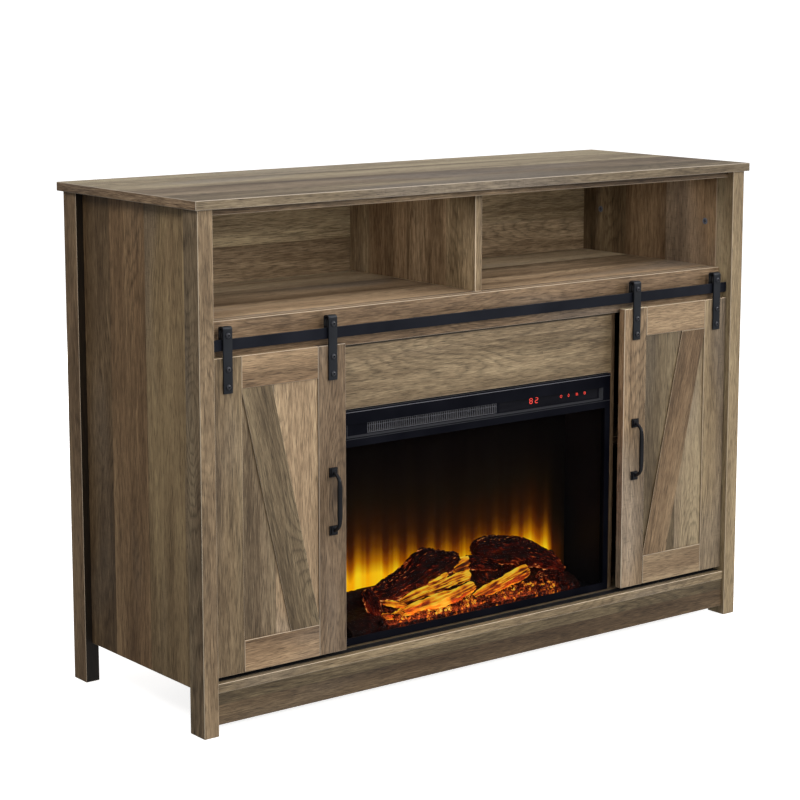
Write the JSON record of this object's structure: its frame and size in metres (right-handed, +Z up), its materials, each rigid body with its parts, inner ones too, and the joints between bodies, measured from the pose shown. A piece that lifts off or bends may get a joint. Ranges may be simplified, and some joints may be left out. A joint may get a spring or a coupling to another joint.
{
  "type": "electric fireplace",
  "caption": "Farmhouse media console with sliding barn doors on a flat rail, open shelves above, and a glass-fronted electric firebox with resin logs, heater outlet and touch controls.",
  "frame": {"origin": "centre of the overall bounding box, at floor level", "axes": "+X to the viewer's right along the width, +Y to the back, +Z up; the doors and the fire face -Y"},
  "size_m": [1.219, 0.4413, 0.864],
  "materials": {
    "rustic_oak": "grey-brown rustic oak laminate, embossed grain and saw marks",
    "back_sheet": "thin oak-print fibreboard",
    "black_iron": "fine black powder coat",
    "black_nylon": "moulded black nylon",
    "black_trim": "satin black paint",
    "gloss_strip": "polished black with red indicators",
    "case_steel": "matt black paint on folded sheet",
    "tinted_glass": "tinted tempered glass",
    "flame_screen": "back-lit diffusing acrylic",
    "ember_resin": "lit translucent ember resin",
    "log_resin": "painted charred-log resin",
    "reflector_foil": "bright folded foil",
    "circuit_board": "solder mask",
    "zinc_steel": "zinc plated",
    "heater_ceramic": "unglazed ceramic"
  },
  "bodies": {
    "cabinet": {"top_panel": "rustic_oak", "top_front_rail": "rustic_oak", "front_left_post": "rustic_oak", "front_right_post": "rustic_oak", "back_left_post": "rustic_oak", "back_right_post": "rustic_oak", "left_side_panel": "rustic_oak", "right_side_panel": "rustic_oak", "header_board": "rustic_oak", "upper_shelf": "rustic_oak", "centre_divider": "rustic_oak", "back_panel": "back_sheet", "left_partition": "rustic_oak", "right_partition": "rustic_oak", "insert_apron": "rustic_oak", "bottom_shelf": "rustic_oak", "front_skirt": "rustic_oak", "left_compartment_shelf": "rustic_oak", "right_compartment_shelf": "rustic_oak", "door_track": "black_iron", "floor_guide_channel": "black_nylon", "glass_frame": "black_trim", "front_glass": "tinted_glass", "control_fascia": "black_trim", "vent_grille": "black_trim", "touch_strip": "gloss_strip", "insert_case": "case_steel", "flame_screen": "flame_screen", "ember_bed": "ember_resin", "log_set": "log_resin", "led_board": "circuit_board", "rotor_motor": "zinc_steel", "blower_motor": "zinc_steel", "heater_element": "heater_ceramic"},
    "left_door": {"left_door_inner_stile": "rustic_oak", "left_door_outer_stile": "rustic_oak", "left_door_top_rail": "rustic_oak", "left_door_bottom_rail": "rustic_oak", "left_door_panel": "rustic_oak", "left_door_brace": "rustic_oak", "left_door_handle": "black_iron", "left_door_inner_hanger": "black_iron", "left_door_outer_hanger": "black_iron", "left_door_guide": "black_nylon"},
    "left_door_inner_wheel": {"left_door_inner_wheel": "black_nylon"},
    "left_door_outer_wheel": {"left_door_outer_wheel": "black_nylon"},
    "right_door": {"right_door_inner_stile": "rustic_oak", "right_door_outer_stile": "rustic_oak", "right_door_top_rail": "rustic_oak", "right_door_bottom_rail": "rustic_oak", "right_door_panel": "rustic_oak", "right_door_brace": "rustic_oak", "right_door_handle": "black_iron", "right_door_inner_hanger": "black_iron", "right_door_outer_hanger": "black_iron", "right_door_guide": "black_nylon"},
    "right_door_inner_wheel": {"right_door_inner_wheel": "black_nylon"},
    "right_door_outer_wheel": {"right_door_outer_wheel": "black_nylon"},
    "flame_rotor": {"flame_rotor": "reflector_foil"},
    "blower_wheel": {"blower_wheel": "zinc_steel"}
  },
  "joints": [
    {"name": "left_door_slide", "type": "slide", "parent": "cabinet", "child": "left_door", "axis": [1, 0, 0], "range_m": [0, 0.29]},
    {"name": "left_door_inner_wheel_roll", "type": "hinge", "parent": "left_door", "child": "left_door_inner_wheel", "pos_m": [-0.3405, -0.1922, 0.648], "axis": [0, 1, 0], "continuous": true},
    {"name": "left_door_outer_wheel_roll", "type": "hinge", "parent": "left_door", "child": "left_door_outer_wheel", "pos_m": [-0.5445, -0.1922, 0.648], "axis": [0, 1, 0], "continuous": true},
    {"name": "right_door_slide", "type": "slide", "parent": "cabinet", "child": "right_door", "axis": [-1, 0, 0], "range_m": [0, 0.29]},
    {"name": "right_door_inner_wheel_roll", "type": "hinge", "parent": "right_door", "child": "right_door_inner_wheel", "pos_m": [0.3405, -0.1922, 0.648], "axis": [0, 1, 0], "continuous": true},
    {"name": "right_door_outer_wheel_roll", "type": "hinge", "parent": "right_door", "child": "right_door_outer_wheel", "pos_m": [0.5445, -0.1922, 0.648], "axis": [0, 1, 0], "continuous": true},
    {"name": "flame_rotor_spin", "type": "hinge", "parent": "cabinet", "child": "flame_rotor", "pos_m": [0, -0.0204, 0.124], "axis": [1, 0, 0], "continuous": true},
    {"name": "blower_spin", "type": "hinge", "parent": "cabinet", "child": "blower_wheel", "pos_m": [-0.108, -0.0884, 0.466], "axis": [1, 0, 0], "continuous": true}
  ],
  "couplings": [
    {"joint": "left_door_inner_wheel_roll", "follows": "left_door_slide", "rad_per_m": 142.86},
    {"joint": "left_door_outer_wheel_roll", "follows": "left_door_slide", "rad_per_m": 142.86},
    {"joint": "right_door_inner_wheel_roll", "follows": "right_door_slide", "rad_per_m": -142.86},
    {"joint": "right_door_outer_wheel_roll", "follows": "right_door_slide", "rad_per_m": -142.86}
  ]
}
